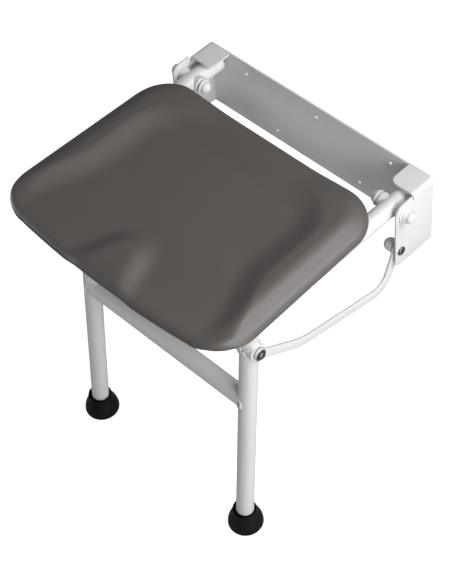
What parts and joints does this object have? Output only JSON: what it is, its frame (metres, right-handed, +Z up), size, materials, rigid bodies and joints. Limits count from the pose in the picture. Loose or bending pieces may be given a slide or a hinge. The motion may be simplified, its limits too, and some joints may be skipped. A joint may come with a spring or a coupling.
{
  "type": "fold down wall seat",
  "caption": "Fold down wall seat: sculpted pad on a bent tube frame, hinged in a folded wall bracket, with raked tube legs, bent side links and swivel feet.",
  "frame": {"origin": "middle of the wall bracket's back face, on the wall", "axes": "+Y into the wall, +Z up, +X to the right along the wall as seen by someone facing it"},
  "size_m": [0.4341, 0.4035, 0.4951],
  "materials": {
    "white_paint": "smooth powder coat, half gloss",
    "zinc_steel": "zinc plated",
    "white_plastic": "smooth moulded",
    "dark_cap": "moulded",
    "black_rubber": "moulded rubber",
    "seat_skin": "matte integral skin foam with a fine grain",
    "board_black": "plain sheet"
  },
  "bodies": {
    "bracket": {"wall_bracket": "white_paint", "hinge_bolt_left": "zinc_steel", "hinge_bolt_right": "zinc_steel", "hinge_nut_left": "zinc_steel", "hinge_nut_right": "zinc_steel", "hinge_flanges_left": "white_plastic", "hinge_flanges_right": "white_plastic", "hinge_cap_outer_left": "white_plastic", "hinge_cap_outer_right": "white_plastic", "hinge_cap_inner_left": "white_plastic", "hinge_cap_inner_right": "white_plastic", "link_bolt_left": "zinc_steel", "link_bolt_right": "zinc_steel", "link_nut_left": "zinc_steel", "link_nut_right": "zinc_steel", "link_cap_left": "white_plastic", "link_cap_right": "white_plastic", "link_washers_left": "zinc_steel", "link_washers_right": "zinc_steel"},
    "seat": {"seat_frame": "white_paint", "frame_bar_front": "white_paint", "frame_bar_rear": "white_paint", "seat_board": "board_black", "pad_screws": "zinc_steel", "seat_pad": "seat_skin", "hinge_bush_left": "white_plastic", "hinge_bush_right": "white_plastic", "hinge_saddle_left": "white_plastic", "hinge_saddle_right": "white_plastic", "frame_plug_left": "white_plastic", "frame_plug_right": "white_plastic", "leg_clevis_left": "white_paint", "leg_clevis_right": "white_paint", "leg_pivot_bolt_left": "zinc_steel", "leg_pivot_bolt_right": "zinc_steel", "leg_pivot_nut_left": "zinc_steel", "leg_pivot_nut_right": "zinc_steel"},
    "leg_frame": {"leg_cross_tube_upper": "white_paint", "leg_cross_tube_lower": "white_paint", "leg_tube_left": "white_paint", "leg_tube_right": "white_paint", "leg_cap_left": "dark_cap", "leg_cap_right": "dark_cap", "leg_sleeve_left": "zinc_steel", "leg_sleeve_right": "zinc_steel", "link_stub_left": "white_paint", "link_stub_right": "white_paint", "stub_screw_left": "zinc_steel", "stub_screw_right": "zinc_steel", "stub_washers_left": "zinc_steel", "stub_washers_right": "zinc_steel", "foot_insert_left": "dark_cap", "foot_insert_right": "dark_cap"},
    "left_link": {"link_left": "white_paint"},
    "right_link": {"link_right": "white_paint"},
    "left_foot": {"foot_left": "black_rubber"},
    "right_foot": {"foot_right": "black_rubber"}
  },
  "joints": [
    {"name": "seat_hinge", "type": "hinge", "parent": "bracket", "child": "seat", "pos_m": [0, -0.058, 0.038], "axis": [-1, 0, 0], "range_deg": [0, 90]},
    {"name": "leg_fold", "type": "hinge", "parent": "seat", "child": "leg_frame", "pos_m": [0, -0.2895, 0.0165], "axis": [-1, 0, 0], "range_deg": [-90, 0]},
    {"name": "link_left_swing", "type": "hinge", "parent": "bracket", "child": "left_link", "pos_m": [-0.1944, -0.06495, -0.02602], "axis": [-1, 0, 0], "range_deg": [0, 90]},
    {"name": "link_right_swing", "type": "hinge", "parent": "bracket", "child": "right_link", "pos_m": [0.1944, -0.06495, -0.02602], "axis": [-1, 0, 0], "range_deg": [0, 90]},
    {"name": "foot_left_tilt", "type": "hinge", "parent": "leg_frame", "child": "left_foot", "pos_m": [-0.15, -0.33399, -0.393], "axis": [1, 0, 0], "range_deg": [-9, 9]},
    {"name": "foot_right_tilt", "type": "hinge", "parent": "leg_frame", "child": "right_foot", "pos_m": [0.15, -0.33399, -0.393], "axis": [1, 0, 0], "range_deg": [-9, 9]}
  ],
  "couplings": [
    {"joint": "leg_fold", "follows": "seat_hinge", "ratio": -1},
    {"joint": "link_left_swing", "follows": "seat_hinge", "ratio": 1},
    {"joint": "link_right_swing", "follows": "seat_hinge", "ratio": 1}
  ]
}
